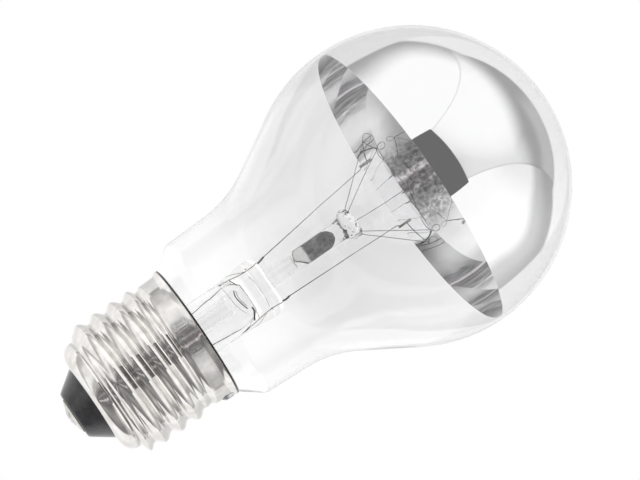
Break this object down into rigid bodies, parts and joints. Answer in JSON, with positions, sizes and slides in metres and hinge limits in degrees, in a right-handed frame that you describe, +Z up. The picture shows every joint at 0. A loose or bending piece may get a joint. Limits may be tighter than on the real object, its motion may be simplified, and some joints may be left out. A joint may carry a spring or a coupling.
{
  "type": "silver crown light bulb",
  "caption": "Round incandescent lamp bulb with a mirrored crown, clear glass neck showing the filament mount, and a metal screw cap.",
  "frame": {"origin": "tip of the cap's centre contact, on the bulb's axis", "axes": "+Z up the bulb's axis to the crown, the filament mount seen face on from -Y, +X to its right"},
  "size_m": [0.06, 0.06, 0.1064],
  "materials": {
    "clear_glass": "clear blown glass",
    "mount_glass": "clear lead glass, drawn and pressed",
    "crown_mirror": "bright vacuum-deposited metal behind the glass",
    "cap_nickel": "satin nickel plate",
    "black_glass": "glossy black pressed glass",
    "contact_metal": "dull tinned metal",
    "solder": "soft solder, melted and set",
    "cement": "dry basing cement",
    "nickel_wire": "drawn nickel wire",
    "seal_wire": "copper-sheathed sealing wire in glass",
    "copper_wire": "bare copper wire",
    "support_wire": "drawn molybdenum wire",
    "tungsten": "dark coiled tungsten",
    "plug_dark": "dark slug, rounded, its material a guess"
  },
  "bodies": {
    "root": {"glass_envelope": "clear_glass", "mirror_coating": "crown_mirror", "screw_shell": "cap_nickel", "insulator": "black_glass", "contact_plate": "contact_metal", "contact_solder": "solder", "basing_cement": "cement", "side_solder": "solder", "stem_press": "mount_glass", "exhaust_tube": "mount_glass", "arbor_tube": "mount_glass", "vent_plug": "plug_dark", "inner_lead_left": "nickel_wire", "inner_lead_right": "nickel_wire", "seal_wire_left": "seal_wire", "seal_wire_right": "seal_wire", "outer_lead_left": "copper_wire", "outer_lead_right": "copper_wire", "support_wire_1": "support_wire", "support_wire_2": "support_wire", "support_wire_3": "support_wire", "support_wire_4": "support_wire", "support_wire_5": "support_wire", "filament": "tungsten"}
  },
  "joints": []
}
